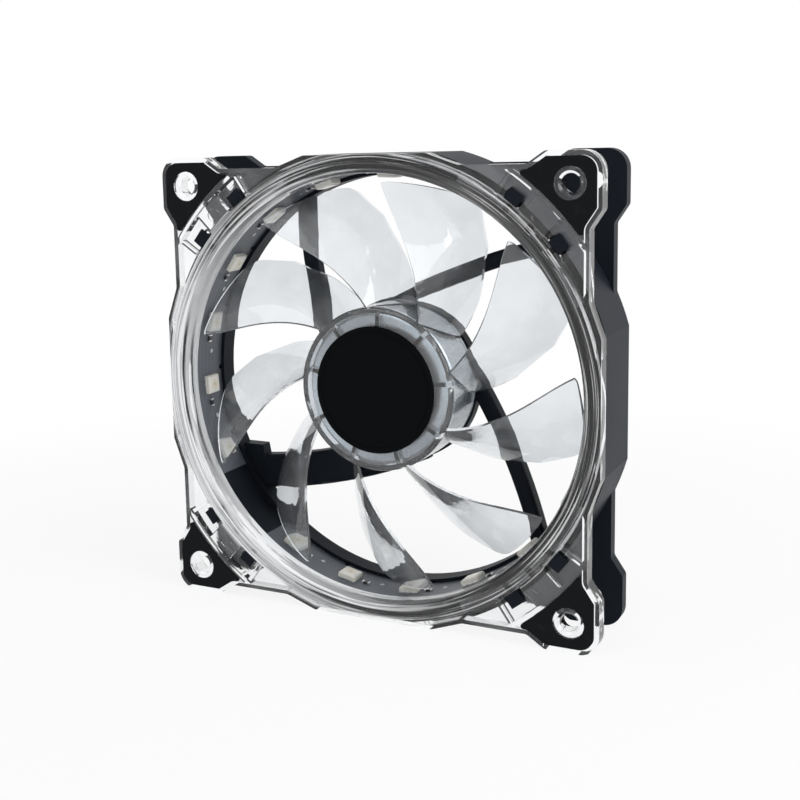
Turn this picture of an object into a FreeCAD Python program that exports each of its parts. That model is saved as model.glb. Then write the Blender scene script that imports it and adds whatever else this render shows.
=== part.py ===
import FreeCAD, Part
import math
import os

# A 120 mm case fan: clear front frame, black rear frame, lit duct ring, clear impeller and motor.
# The fan turns about the Y axis. The intake side faces -Y, +Z is up and the origin is mid-depth
# on the axis. A depth is measured from the front pads' faces towards the rear, in millimetres.
# An angle is measured at the axis from +X, counter-clockwise as the front is seen.

V = FreeCAD.Vector

# ---- overall -------------------------------------------------------------------------------
frame_side = 120.0
frame_depth = 25.0
hole_inset = 7.5
duct_bulge = 2.3
duct_wall = 6.0
exit_ledge = 1.7
tip_clearance = 1.4
hub_radius = 21.4

# ---- flanges and pads ----------------------------------------------------------------------
corner_radius = 5.0
lobe_length = 13.5
lobe_taper = 4.5
side_recess = 3.0
lobe_rounding = 1.6
bulge_rounding = 2.5
rim_width = 1.2
front_flange_thickness = 4.2
rear_flange_thickness = 3.5
pad_thickness = 1.6
pad_proud = 0.3
pad_reach = 6.25
pad_end_radius = 0.7
pad_clearance = 0.1

# ---- screw holes ---------------------------------------------------------------------------
screw_hole_diameter = 4.6
screw_mouth_diameter = 5.8
boss_diameter = 7.7
mouth_depth = 0.6

# ---- clear front ring ----------------------------------------------------------------------
lip_clearance = 0.1
lip_wall = 0.9
lip_height = 1.8
mouth_radius = 2.8
ring_inset = 2.3
ring_line_inset = 1.1
ring_line_width = 0.5
ring_line_depth = 0.4
step_depth = 0.9
web_thickness = 1.5
latch_block_width = 8.0
latch_dot_radius = 1.7
latch_dot_depth = 0.35
window_angle = 7.1
window_width = 5.0
window_height = 2.7
rib_angle = 10.7
rib_width = 1.0
hook_width = 4.0
hook_wall = 1.4
hook_reach = 1.9
hook_head = 0.9
hook_gap = 0.1
hook_sink = 0.05

# ---- rear frame ----------------------------------------------------------------------------
ledge_height = 5.9
pocket_outer_wall = 1.9
pocket_inner_wall = 1.8
pocket_floor = 4.7
pocket_half_angle = 21.0
pocket_rib_width = 1.6
rear_web_depth = 1.6
exit_chamfer = 0.6
base_rim = 0.4
base_height = 3.8
base_wall = 1.3
base_floor = 1.5
base_edge = 0.5
strut_width = 4.2
strut_duct_sink = 0.8
strut_base_sink = 0.6
strut_inner_lead = 46.5
strut_sector = 30.0
strut_bow = 1.6
strut_edge_radius = 1.0
strut_angles = (-46.6, 41.2, 120.5)
cable_strut_angle = 212.8
cable_strut_width = 9.6
channel_width = 6.4
channel_depth = 2.4
channel_clip = 1.3
channel_clip_length = 2.2
channel_clip_places = (-5.0, 7.0)
outlet_length = 2.8
outlet_slant = 1.6
outlet_step = 3.2
outlet_slot_width = 4.4

# ---- diode strip ---------------------------------------------------------------------------
strip_thickness = 0.6
strip_clearance = 0.1
diode_count = 18
diode_pitch = 19.1
first_diode_angle = 238.0
diode_side = 5.0
diode_height = 1.6
diode_edge = 0.35
phosphor_radius = 1.9
phosphor_sink = 0.1
strip_tail = 7.0
notch_lag = 4.0
notch_width = 1.3
notch_depth = 1.0
resistor_length = 2.0
resistor_width = 1.25
resistor_height = 0.5
resistor_rise = 0.5
resistor_lead = 5.4

# ---- impeller ------------------------------------------------------------------------------
blade_count = 9
blade_phase = 7.8
blade_front_drop = 0.3
blade_rear_gap = 0.9
blade_thickness = 1.5
blade_edge_share = 0.55
blade_camber = 0.07
lead_sweep = 31.5
lead_power = 1.45
trail_root = 51.5
trail_tip = 24.1
blade_sections = 5
blade_shares = (0.0, 0.25, 0.5, 0.75, 1.0)
blade_root_sink = 0.15
blade_crown = 0.8
lead_corner_radius = 2.4
lead_corner_lean = 1.5
trail_corner_radius = 6.0
trail_corner_drop = 9.2
trail_corner_lean = 0.8
trim_margin_angle = 20.0
hub_front = 4.7
hub_wall = 1.5
hub_front_wall = 1.3
hub_rib_width = 1.1
hub_rib_height = 1.3
hub_rib_core_sink = 0.5
hub_rib_wall_sink = 0.3
hub_edge_radius = 1.3
hub_core_radius = 6.4
hub_rear_gap = 0.6
disc_rim = 4.85
disc_thickness = 0.4
disc_sink = 0.1
disc_clearance = 0.1
disc_groove_inset = 1.65
disc_groove_width = 0.35
disc_groove_depth = 0.1

# ---- motor ---------------------------------------------------------------------------------
shaft_radius = 1.5
bearing_clearance = 0.02
bearing_wall = 2.0
bearing_drop = 1.0
bearing_rear_gap = 0.4
tube_wall = 1.0
tube_rise = 0.4
tube_sink = 0.7
yoke_wall = 1.0
yoke_rear_gap = 0.3
yoke_edge = 0.8
magnet_wall = 2.0
magnet_margin = 0.5
air_gap = 0.5
winding_gap = 0.3
core_rear_gap = 1.7
core_hub_wall = 2.0
pole_count = 4
first_pole_angle = 45.0
pole_width = 4.6
pole_core_sink = 1.0
pole_shoe_sink = 0.5
shoe_depth = 1.9
shoe_half_angle = 34.0
bobbin_sheet = 0.8
bobbin_wall = 2.2
bobbin_hub_wall = 2.7
bobbin_arm_sink = 0.5
bobbin_arm_width = 6.0
bobbin_flange_width = 11.0
winding_width = 9.6
winding_margin = 0.1
winding_corner = 1.8
boss_wall = 2.0
boss_flange_wall = 2.6
boss_rise = 1.1
boss_flange_thickness = 0.7
boss_tail = 0.6
oil_ring_wall = 1.6
oil_ring_rise = 0.6
oil_ring_thickness = 0.4
clip_wall = 1.2
clip_thickness = 0.4
clip_to_end = 2.3
clip_groove_depth = 0.35
clip_slot = 1.6
shaft_end_drop = 0.7
thrust_gap = 0.1
board_seat_height = 1.25
board_thickness = 1.0
board_side_gap = 0.8
board_bore_gap = 0.2
board_seat_wall = 3.1
board_post_radius = 1.4
board_post_inset = 1.8
board_post_count = 3
first_post_angle = 60.0
pin_radius = 0.35
pin_sink = 1.1
pin_proud = 0.55
pin_pole_angles = (45.0, 135.0, 315.0)
hall_inset = 0.2
hall_size = (2.9, 2.4)
hall_height = 0.7
chip_size = (4.9, 3.9)
chip_height = 1.1
chip_inset = 7.4
chip_angle = 180.0
capacitor_size = (2.0, 1.25)
capacitor_height = 0.8
capacitor_inset = 6.4
capacitor_angles = (150.0, 210.0)

# ---- values that follow --------------------------------------------------------------------
half = frame_side / 2
beyond = frame_side
cut_margin = 1.0
pick_margin = 1.0
hole_offset = half - hole_inset
recess_line = half - side_recess
lobe_start = half - lobe_length
taper_end = lobe_start - lobe_taper
flange_front = pad_proud
flange_back = frame_depth - pad_proud
front_flange_end = flange_front + front_flange_thickness
rear_flange_start = flange_back - rear_flange_thickness
pad_inner_radius = hole_offset * math.sqrt(2) - pad_reach

duct_outer_radius = half + duct_bulge
duct_inner_radius = duct_outer_radius - duct_wall
exit_radius = duct_inner_radius - exit_ledge
tip_radius = exit_radius - tip_clearance
bulge_half = math.sqrt(duct_outer_radius ** 2 - half ** 2)
bulge_foot = math.sqrt(duct_outer_radius ** 2 - recess_line ** 2)
lip_outer_radius = duct_inner_radius - lip_clearance
lip_radius = lip_outer_radius - lip_wall
lip_end = front_flange_end + lip_height
ring_outer_radius = duct_outer_radius - ring_inset
ring_line_radius = ring_outer_radius - ring_line_inset
web_front = front_flange_end - web_thickness
strip_end = flange_back - ledge_height
pocket_end = flange_back - pocket_floor
strut_reach = exit_radius + strut_duct_sink
strip_outer_radius = duct_inner_radius - strip_clearance
strip_inner_radius = strip_outer_radius - strip_thickness
diode_back = math.sqrt(strip_inner_radius ** 2 - (diode_side / 2) ** 2)
diode_depth = (lip_end + strip_end) / 2
resistor_depth = diode_depth - resistor_rise

base_radius = hub_radius + base_rim
base_start = flange_back - base_height
floor_front = flange_back - base_floor
blade_front = hub_front + blade_front_drop
blade_rear = base_start - blade_rear_gap
hub_rear = base_start - hub_rear_gap
trail_corner_station = tip_radius - trail_corner_drop
disc_radius = hub_radius - disc_rim
disc_groove_radius = disc_radius - disc_groove_inset

bearing_radius = shaft_radius + bearing_wall
tube_radius = bearing_radius + tube_wall
yoke_front = hub_front + hub_front_wall + hub_rib_height
yoke_inside = yoke_front + yoke_wall
yoke_rear = hub_rear - yoke_rear_gap
yoke_outer_radius = hub_radius - hub_wall
yoke_inner_radius = yoke_outer_radius - yoke_wall
magnet_front = yoke_inside + magnet_margin
magnet_rear = yoke_rear - magnet_margin
magnet_inner_radius = yoke_inner_radius - magnet_wall
stator_radius = magnet_inner_radius - air_gap
shoe_inner_radius = stator_radius - shoe_depth
core_front = yoke_inside + winding_gap + bobbin_wall
core_rear = magnet_rear - core_rear_gap
core_hub_radius = tube_radius + core_hub_wall
bobbin_hub_radius = tube_radius + bobbin_hub_wall
boss_core_radius = shaft_radius + boss_wall
boss_flange_radius = shaft_radius + boss_flange_wall
boss_front = yoke_front - boss_rise
boss_flange_end = yoke_inside + boss_flange_thickness
boss_end = boss_flange_end + boss_tail
bearing_front = boss_end + bearing_drop
tube_front = bearing_front - tube_rise
tube_end = floor_front + tube_sink
oil_ring_radius = shaft_radius + oil_ring_wall
oil_ring_front = bearing_front - oil_ring_rise
clip_radius = shaft_radius + clip_wall
shaft_end = tube_end - shaft_end_drop
clip_front = shaft_end - clip_to_end
bearing_end = clip_front - bearing_rear_gap
thrust_pad_front = shaft_end + thrust_gap

board_back = floor_front - board_seat_height
board_front = board_back - board_thickness
board_radius = base_radius - base_wall - board_side_gap
board_seat_radius = tube_radius + board_seat_wall
board_post_ring = board_radius - board_post_inset
pin_front = core_rear + pin_sink
pin_end = board_back + pin_proud
hall_ring = magnet_inner_radius - hall_inset
chip_ring = board_radius - chip_inset
capacitor_ring = board_radius - capacitor_inset


# ---- small helpers -------------------------------------------------------------------------
def at(depth):
    """The Y place of a depth below the front pads' faces."""
    return depth - frame_depth / 2


def polar(radius, angle):
    """The (x, z) place at a radius and an angle in degrees."""
    turn = math.radians(angle)
    return radius * math.cos(turn), radius * math.sin(turn)


def turned(shape, angle):
    """A copy turned about the fan axis, counter-clockwise as the front is seen."""
    copy = shape.copy()
    copy.rotate(V(0, 0, 0), V(0, -1, 0), angle)
    return copy


def copies(shape, count, first=0.0, pitch=None):
    """Evenly turned copies of a shape."""
    step = 360.0 / count if pitch is None else pitch
    return [turned(shape, first + step * index) for index in range(count)]


def rod(radius, front, back, place=(0.0, 0.0)):
    """A cylinder along the axis between two depths."""
    return Part.makeCylinder(radius, back - front, V(place[0], at(front), place[1]), V(0, 1, 0))


def tube(outer, inner, front, back):
    """A round tube about the fan axis between two depths."""
    return rod(outer, front, back).cut(rod(inner, front, back))


def block(x0, x1, front, back, z0, z1):
    """A box between two depths."""
    return Part.makeBox(x1 - x0, back - front, z1 - z0, V(x0, at(front), z0))


def closed_wire(to_space, start, moves):
    """A wire from a start point; a move is a point, or a (middle, end) pair for an arc."""
    edges = []
    here = start
    for move in moves:
        if isinstance(move[0], tuple):
            middle, there = move
            edges.append(Part.Arc(to_space(*here), to_space(*middle), to_space(*there)).toShape())
        else:
            there = move
            edges.append(Part.makeLine(to_space(*here), to_space(*there)))
        here = there
    return Part.Wire(edges)


def lathe(start, *moves):
    """A solid of revolution about the axis, from a profile of (radius, depth) points."""
    wire = closed_wire(lambda radius, depth: V(radius, at(depth), 0), start, moves + (start,))
    return Part.Face(wire).revolve(V(0, 0, 0), V(0, 1, 0), 360)


def plate(start, moves, front, back):
    """A flat plate from an outline of (x, z) points, between two depths."""
    wire = closed_wire(lambda x, z: V(x, at(front), z), start, moves)
    return Part.Face(wire).extrude(V(0, back - front, 0))


def rounded(corners):
    """Start and moves of a polygon of (x, z, radius) corners, each rounded by its radius."""
    entries = []
    for index, (x, z, radius) in enumerate(corners):
        here = V(x, 0, z)
        before = V(corners[index - 1][0], 0, corners[index - 1][1]) - here
        following = corners[(index + 1) % len(corners)]
        after = V(following[0], 0, following[1]) - here
        before.normalize()
        after.normalize()
        half_turn = before.getAngle(after) / 2
        run = radius / math.tan(half_turn)
        bisector = (before + after).normalize()
        centre = here + bisector * (radius / math.sin(half_turn))
        middle = centre - bisector * radius
        first = here + before * run
        last = here + after * run
        entries.append([(point.x, point.z) for point in (first, middle, last)])
    moves = []
    for first, middle, last in entries:
        moves.append(first)
        moves.append((middle, last))
    start = entries[-1][2]
    return start, moves


def parallel_edges(shape, pick=lambda edge: True):
    """The straight edges of a shape that run along the axis."""
    found = []
    for edge in shape.Edges:
        if isinstance(edge.Curve, Part.Line) and abs(edge.tangentAt(edge.FirstParameter).y) > 0.999:
            if pick(edge):
                found.append(edge)
    return found


def joined(shapes):
    """One solid from touching shapes."""
    return shapes[0].fuse(shapes[1:]).removeSplitter()


def centre_radius(edge):
    """How far the middle of an edge lies from the axis."""
    place = edge.CenterOfMass
    return math.hypot(place.x, place.z)


# ---- outline shared by both flanges --------------------------------------------------------
def flange_corners():
    """The corners of the lobed square outline, side by side."""
    side = [
        (-half, half, corner_radius),
        (-lobe_start, half, lobe_rounding),
        (-taper_end, recess_line, lobe_rounding),
        (-bulge_foot, recess_line, bulge_rounding),
        (-bulge_half, half, bulge_rounding),
        (bulge_half, half, bulge_rounding),
        (bulge_foot, recess_line, bulge_rounding),
        (taper_end, recess_line, lobe_rounding),
        (lobe_start, half, lobe_rounding),
    ]
    corners = []
    for quarter in range(4):
        turn = math.radians(-90 * quarter)
        for x, z, radius in side:
            across = x * math.cos(turn) - z * math.sin(turn)
            up = x * math.sin(turn) + z * math.cos(turn)
            corners.append((across, up, radius))
    return corners


def flange_face(depth, inset=0.0):
    """The outline as a flat face at a depth, drawn in by an inset."""
    start, moves = rounded(flange_corners())
    wire = closed_wire(lambda x, z: V(x, at(depth), z), start, moves)
    face = Part.Face(wire)
    if inset:
        face = Part.Face(face.makeOffset2D(-inset).OuterWire)
    return face


def flange_plate(front, back, inset=0.0):
    """The outline as a plate between two depths."""
    return flange_face(front, inset).extrude(V(0, back - front, 0))


def corner_holes(radius, front, back):
    """Rods at the four screw places."""
    return [rod(radius, front, back, (x, z)) for x in (-hole_offset, hole_offset)
            for z in (-hole_offset, hole_offset)]


def hole_mouths(depth, inwards):
    """Cones that widen the four screw holes at a face; inwards is +1 at the front, -1 at the rear."""
    wide = screw_mouth_diameter / 2
    narrow = screw_hole_diameter / 2
    axis = V(0, inwards, 0)
    return [Part.makeCone(wide, narrow, mouth_depth, V(x, at(depth), z), axis)
            for x in (-hole_offset, hole_offset) for z in (-hole_offset, hole_offset)]


def corner_piece(inset, inner_radius, front, back):
    """The four corner regions of the outline outside a radius, as one shape."""
    corners = flange_plate(front, back, inset)
    return corners.cut(rod(inner_radius, front - cut_margin, back + cut_margin))


def facing_rear(shape):
    """A shape mirrored from the front of the frame to its rear."""
    return shape.mirror(V(0, 0, 0), V(0, 1, 0))


# ---- clear front frame ---------------------------------------------------------------------
def on_diagonals(shape):
    """Four copies of a shape drawn along +X, one on each diagonal."""
    return copies(shape, 4, 45.0)


def web_pockets(front, floor):
    """The recess between rim, ring and pad seats at each corner, down to a floor."""
    region = flange_plate(front, floor, rim_width)
    region = region.common(rod(pad_inner_radius - rim_width, front, floor))
    return region.cut(rod(ring_outer_radius, front, floor))


def beside_diagonals(shape, angle):
    """Eight copies of a shape drawn along +X, one at an angle to each side of each diagonal."""
    return copies(shape, 4, 45.0 - angle) + copies(shape, 4, 45.0 + angle)


def window_inner():
    """How far the snap windows begin from the axis."""
    return duct_outer_radius - hook_sink - hook_wall - hook_gap


def front_frame():
    body = flange_plate(flange_front, front_flange_end)
    body = body.fuse(rod(lip_outer_radius, front_flange_end, lip_end))
    flare = lip_radius + mouth_radius
    crown = math.sqrt(0.5) * mouth_radius
    flare_end = flange_front + mouth_radius
    ahead = flange_front - cut_margin
    past_lip = lip_end + cut_margin
    bore = lathe((0, ahead), (flare, ahead), (flare, flange_front),
                 ((flare - crown, flare_end - crown), (lip_radius, flare_end)),
                 (lip_radius, past_lip), (0, past_lip))
    line = tube(ring_line_radius + ring_line_width, ring_line_radius,
                flange_front, flange_front + ring_line_depth)
    shelf = flange_front + step_depth
    latch = block(0, beyond, shelf, web_front, -latch_block_width / 2, latch_block_width / 2)
    rib = block(0, beyond, shelf, web_front, -rib_width / 2, rib_width / 2)
    kept = on_diagonals(latch) + beside_diagonals(rib, rib_angle)
    deep = web_pockets(shelf, web_front).cut(kept)
    shallow = web_pockets(flange_front, shelf)
    seat = corner_piece(rim_width, pad_inner_radius, flange_front, pad_thickness)
    seat = seat.cut(corner_holes(boss_diameter / 2, flange_front, pad_thickness))
    window = block(window_inner(), window_inner() + window_height, flange_front, front_flange_end,
                   -window_width / 2, window_width / 2)
    dot = rod(latch_dot_radius, shelf, shelf + latch_dot_depth,
              ((ring_outer_radius + pad_inner_radius - rim_width) / 2, 0.0))
    holes = corner_holes(screw_hole_diameter / 2, flange_front, front_flange_end)
    mouths = hole_mouths(flange_front, 1)
    cuts = [bore, line, deep, shallow, seat] + on_diagonals(dot) + holes + mouths
    cuts += beside_diagonals(window, window_angle)
    return body.cut(cuts).removeSplitter()


def pads():
    """The four front pads, by the names of their corners."""
    inset = rim_width + pad_clearance
    blank = corner_piece(inset, pad_inner_radius + pad_clearance, 0, pad_thickness)
    blank = blank.cut(corner_holes(boss_diameter / 2 + pad_clearance, 0, pad_thickness))
    named = {}
    for solid in blank.Solids:
        tips = parallel_edges(solid, lambda edge: centre_radius(edge) < pad_inner_radius + pick_margin)
        pad = solid.makeFillet(pad_end_radius, tips)
        place = pad.BoundBox.Center
        height = "top" if place.z > 0 else "bottom"
        side = "right" if place.x > 0 else "left"
        named[height + "_" + side] = pad
    return named


# ---- black rear frame ----------------------------------------------------------------------
def strut_centre(angle):
    """Three points on a strut's middle line: at the duct, half way and at the motor base."""
    outer = V(*polar(strut_reach, angle), 0)
    inner = V(*polar(base_radius - strut_base_sink, angle + strut_inner_lead), 0)
    run = inner - outer
    normal = V(run.y, -run.x, 0).normalize()
    return outer, (outer + inner) * 0.5 + normal * strut_bow, inner


def strut_band(angle, width, front, back):
    """A band along a strut's curved middle line."""
    outer, middle, inner = strut_centre(angle)
    bend = Part.Arc(outer, middle, inner).toShape().Curve
    centre = (bend.Center.x, bend.Center.y)
    ring = rod(bend.Radius + width / 2, front, back, centre)
    ring = ring.cut(rod(bend.Radius - width / 2, front, back, centre))
    limits = [(0.0, 0.0), polar(duct_outer_radius, angle - strut_sector),
              polar(beyond, angle + strut_inner_lead / 2),
              polar(duct_outer_radius, angle + strut_inner_lead + strut_sector)]
    wedge = plate(limits[0], limits[1:] + limits[:1], front, back)
    annulus = tube(strut_reach, base_radius - strut_base_sink, front, back)
    return ring.common(wedge).common(annulus)


def front_edges(solid, depth):
    """The long curved edges of a strut on its front face."""
    return [edge for edge in solid.Edges
            if abs(edge.CenterOfMass.y - at(depth)) < 1e-3 and edge.Length > base_radius]


def strut(angle, width):
    band = strut_band(angle, width, base_start, flange_back)
    return band.makeFillet(strut_edge_radius, front_edges(band, base_start))


def cable_channel():
    """The open channel for the lead along the back of the wide strut, less its retaining clips."""
    channel = strut_band(cable_strut_angle, channel_width, flange_back - channel_depth, flange_back)
    middle = strut_centre(cable_strut_angle)[1]
    reach = math.hypot(middle.x, middle.y)
    heading = math.degrees(math.atan2(middle.y, middle.x))
    clips = []
    for place in channel_clip_places:
        radius = reach + place
        bar = block(radius, radius + channel_clip_length, flange_back - channel_clip, flange_back,
                    -cable_strut_width, 0)
        clips.append(turned(bar, heading))
    return channel.cut(clips)


def outlet_place():
    """The (x, z) place where the wide strut meets the duct."""
    return polar(strut_reach, cable_strut_angle)


def outlet_block():
    """The stepped block at the wide strut's outer end, where the lead leaves the duct."""
    x, z = outlet_place()
    top = z + cable_strut_width / 2 + outlet_step
    end = x + outlet_length
    step = plate((-strut_reach, z), [(end + outlet_slant, z), (end, top), (-strut_reach, top),
                                     (-strut_reach, z)], base_start, flange_back)
    return step.common(rod(strut_reach, base_start, flange_back))


def outlet_slot():
    """The open slot that carries the channel on through the duct to the frame's side."""
    x, z = outlet_place()
    return block(-half - cut_margin, x + outlet_length, flange_back - channel_depth, frame_depth,
                 z - outlet_slot_width / 2, z + outlet_slot_width / 2)


def motor_base():
    cup = lathe((0, floor_front), (base_radius - base_wall, floor_front),
                (base_radius - base_wall, base_start), (base_radius, base_start),
                (base_radius, flange_back - base_edge), (base_radius - base_edge, flange_back),
                (0, flange_back))
    seat = rod(board_seat_radius, board_back, floor_front)
    post = rod(board_post_radius, board_back, floor_front, (board_post_ring, 0))
    base = joined([cup, seat] + copies(post, board_post_count, first_post_angle))
    return base.cut(rod(tube_radius, board_back - cut_margin, tube_end))


def snap_hooks():
    """Hooks on the duct's front edge that reach through the clear frame's windows."""
    outer = duct_outer_radius - hook_sink
    inner = outer - hook_wall
    side = hook_width / 2
    under_web = web_front - hook_gap
    stem = block(inner, outer, under_web - hook_head, front_flange_end + hook_wall, -side, side)
    head = block(outer, outer + hook_reach, under_web - hook_head, under_web, -side, side)
    return beside_diagonals(stem.fuse(head), window_angle)


def duct_pockets():
    """The hollow between the duct's two walls at the corners, open to the front."""
    hollow = tube(duct_outer_radius - pocket_outer_wall, duct_inner_radius + pocket_inner_wall,
                  front_flange_end, pocket_end)
    edge = polar(beyond, pocket_half_angle)
    wedge = plate((0.0, 0.0), [edge, (edge[0], -edge[1]), (0.0, 0.0)], front_flange_end, pocket_end)
    pocket = hollow.common(wedge)
    rib = block(0, beyond, front_flange_end, pocket_end, -pocket_rib_width / 2, pocket_rib_width / 2)
    pocket = pocket.cut([turned(rib, angle) for angle in (-window_angle, 0.0, window_angle)])
    return on_diagonals(pocket)


def rear_frame():
    square = block(-half, half, front_flange_end, flange_back, -half, half)
    duct = rod(duct_outer_radius, front_flange_end, flange_back).common(square)
    body = duct.fuse(flange_plate(rear_flange_start, flange_back))
    ahead = front_flange_end - cut_margin
    bore = lathe((0, ahead), (duct_inner_radius, ahead),
                 (duct_inner_radius, strip_end), (exit_radius, strip_end),
                 (exit_radius, flange_back - exit_chamfer),
                 (exit_radius + exit_chamfer, flange_back), (exit_radius + exit_chamfer, frame_depth),
                 (0, frame_depth))
    webs = facing_rear(web_pockets(flange_front, flange_front + rear_web_depth))
    seats = corner_piece(rim_width, pad_inner_radius, flange_front, pad_thickness)
    seats = seats.cut(corner_holes(boss_diameter / 2, flange_front, pad_thickness))
    holes = corner_holes(screw_hole_diameter / 2, rear_flange_start, flange_back)
    cuts = [bore, webs, facing_rear(seats)] + duct_pockets() + holes + hole_mouths(flange_back, -1)
    body = body.cut(cuts)
    struts = [strut(angle, strut_width) for angle in strut_angles]
    wide = strut(cable_strut_angle, cable_strut_width).fuse(outlet_block())
    body = joined([body, motor_base(), wide] + struts + snap_hooks())
    return body.cut([cable_channel(), outlet_slot()])


# ---- diode strip ---------------------------------------------------------------------------
def sector(outer, inner, front, back, first, last):
    """A part of a tube between two angles."""
    wire = closed_wire(lambda x, z: V(x, at(front), z), polar(inner, first),
                       [polar(outer, first), (polar(outer, (first + last) / 2), polar(outer, last)),
                        polar(inner, last), (polar(inner, (first + last) / 2), polar(inner, first))])
    return Part.Face(wire).extrude(V(0, back - front, 0))


def diode_angles():
    return [first_diode_angle + diode_pitch * index for index in range(diode_count)]


def led_strip():
    first = first_diode_angle - strip_tail
    last = diode_angles()[-1] + strip_tail
    band = sector(strip_outer_radius, strip_inner_radius, lip_end, strip_end, first, last)
    notch = block(strip_inner_radius - strip_thickness, strip_outer_radius + strip_thickness,
                  strip_end - notch_depth, strip_end, -notch_width / 2, notch_width / 2)
    return band.cut([turned(notch, angle - notch_lag) for angle in diode_angles()])


def led_package():
    front = diode_depth - diode_side / 2
    back = diode_depth + diode_side / 2
    case = block(diode_back - diode_height, diode_back, front, back, -diode_side / 2, diode_side / 2)
    lean = [edge for edge in case.Edges if abs(edge.CenterOfMass.x - diode_back + diode_height) < 1e-3]
    case = case.makeChamfer(diode_edge, lean)
    return case.cut(phosphor(phosphor_sink))


def phosphor(thickness):
    """The round window in a package's face, with a thickness."""
    face = diode_back - diode_height
    return Part.makeCylinder(phosphor_radius, thickness, V(face, at(diode_depth), 0), V(1, 0, 0))


def strip_resistor():
    middle = resistor_depth
    back = math.sqrt(strip_inner_radius ** 2 - (resistor_length / 2) ** 2)
    chip = block(back - resistor_height, back, middle - resistor_width / 2,
                 middle + resistor_width / 2, -resistor_length / 2, resistor_length / 2)
    return turned(chip, resistor_lead)


def along_strip(shape):
    """A copy of a shape at every diode, as one group of solids."""
    return Part.Compound(copies(shape, diode_count, first_diode_angle, diode_pitch))


# ---- impeller ------------------------------------------------------------------------------
def lead_angle(radius):
    """How far a blade's leading edge lies behind its tip, in degrees."""
    share = max(0.0, (tip_radius - radius) / (tip_radius - hub_radius))
    return -lead_sweep * share ** lead_power


def trail_angle(radius):
    """How far a blade's trailing edge lies behind its leading tip, in degrees."""
    share = (tip_radius - radius) / (tip_radius - hub_radius)
    return -trail_tip - (trail_root - trail_tip) * share


def blade_section(radius):
    """A thin cambered section in the plane that a radius crosses squarely at mid-chord."""
    lead = lead_angle(radius)
    trail = trail_angle(radius)
    middle = (lead + trail) / 2
    reach = radius * math.tan(math.radians((lead - trail) / 2))
    out = V(*polar(1, middle), 0)
    outward = V(out.x, 0, out.y)
    across = V(-out.y, 0, out.x)
    nose = across * reach + V(0, at(blade_front), 0)
    tail = across * -reach + V(0, at(blade_rear), 0)
    chord = tail - nose
    along = V(chord).normalize()
    normal = outward.cross(along).normalize()
    if normal.y > 0:
        normal = normal * -1
    upper = []
    lower = []
    for share in blade_shares:
        fullness = 4 * share * (1 - share)
        spread = blade_thickness / 2 * (blade_edge_share + (1 - blade_edge_share) * fullness)
        bow = blade_camber * chord.Length * fullness
        spine = nose + chord * share + normal * bow + outward * radius
        upper.append(spine + normal * spread)
        lower.append(spine - normal * spread)
    top = Part.BSplineCurve()
    top.interpolate(Points=upper, Parameters=blade_shares)
    bottom = Part.BSplineCurve()
    bottom.interpolate(Points=lower[::-1], Parameters=blade_shares)
    return Part.Wire([top.toShape(), Part.makeLine(upper[-1], lower[-1]),
                      bottom.toShape(), Part.makeLine(lower[0], upper[0])])


def tip_trim():
    """A prism that gives a blade its round tip line and its two rounded tip corners."""
    front = blade_front - blade_thickness * 2
    back = blade_rear + blade_thickness
    lead = polar(tip_radius, 0.0)
    trail = polar(tip_radius, trail_angle(tip_radius))
    crest = polar(tip_radius, trail_angle(tip_radius) / 2)
    knee = polar(trail_corner_station, trail_angle(trail_corner_station) - trail_corner_lean)
    foot = polar(hub_radius, trail_angle(hub_radius) - trim_margin_angle)
    heel = polar(yoke_outer_radius, trim_margin_angle)
    neck = polar(tip_radius - lead_corner_radius * 3, lead_corner_lean)
    prism = plate(lead, [(crest, trail), knee, foot, (0.0, 0.0), heel, neck, lead], front, back)
    lead_edges = parallel_edges(prism, lambda edge: abs(edge.CenterOfMass.x - lead[0]) < 1e-3)
    prism = prism.makeFillet(lead_corner_radius, lead_edges)
    trail_edges = parallel_edges(prism, lambda edge: math.dist(
        (edge.CenterOfMass.x, edge.CenterOfMass.z), trail) < 1e-3)
    return prism.makeFillet(trail_corner_radius, trail_edges)


def blade():
    root = yoke_outer_radius + blade_root_sink
    crown = tip_radius + blade_crown
    radii = [root + (crown - root) * index / (blade_sections - 1) for index in range(blade_sections)]
    sheet = Part.makeLoft([blade_section(radius) for radius in radii], True, False, False, 3)
    return sheet.common(tip_trim())


def impeller():
    face = hub_front
    ceiling = face + hub_front_wall
    round_start = hub_radius - hub_edge_radius
    round_middle = hub_edge_radius * math.sqrt(0.5)
    shell = lathe((0, face), (round_start, face),
                  ((round_start + round_middle, face + hub_edge_radius - round_middle),
                   (hub_radius, face + hub_edge_radius)),
                  (hub_radius, hub_rear), (yoke_outer_radius, hub_rear),
                  (yoke_outer_radius, ceiling), (0, ceiling))
    core = tube(hub_core_radius, boss_core_radius, ceiling, yoke_front)
    rib = block(hub_core_radius - hub_rib_core_sink, yoke_outer_radius + hub_rib_wall_sink,
                ceiling, yoke_front, -hub_rib_width / 2, hub_rib_width / 2)
    ribs = copies(rib, blade_count, blade_phase)
    hub = joined([shell, core] + ribs)
    hub = hub.cut(rod(disc_radius + disc_clearance, face - cut_margin, face + disc_sink))
    if boss_front < ceiling:
        hub = hub.cut(rod(boss_core_radius, boss_front, ceiling))
    return hub.fuse(copies(blade(), blade_count, blade_phase))


def hub_disc():
    back = hub_front + disc_sink
    front = back - disc_thickness
    groove = tube(disc_groove_radius + disc_groove_width, disc_groove_radius,
                  front, front + disc_groove_depth)
    return rod(disc_radius, front, back).cut(groove)


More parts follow.
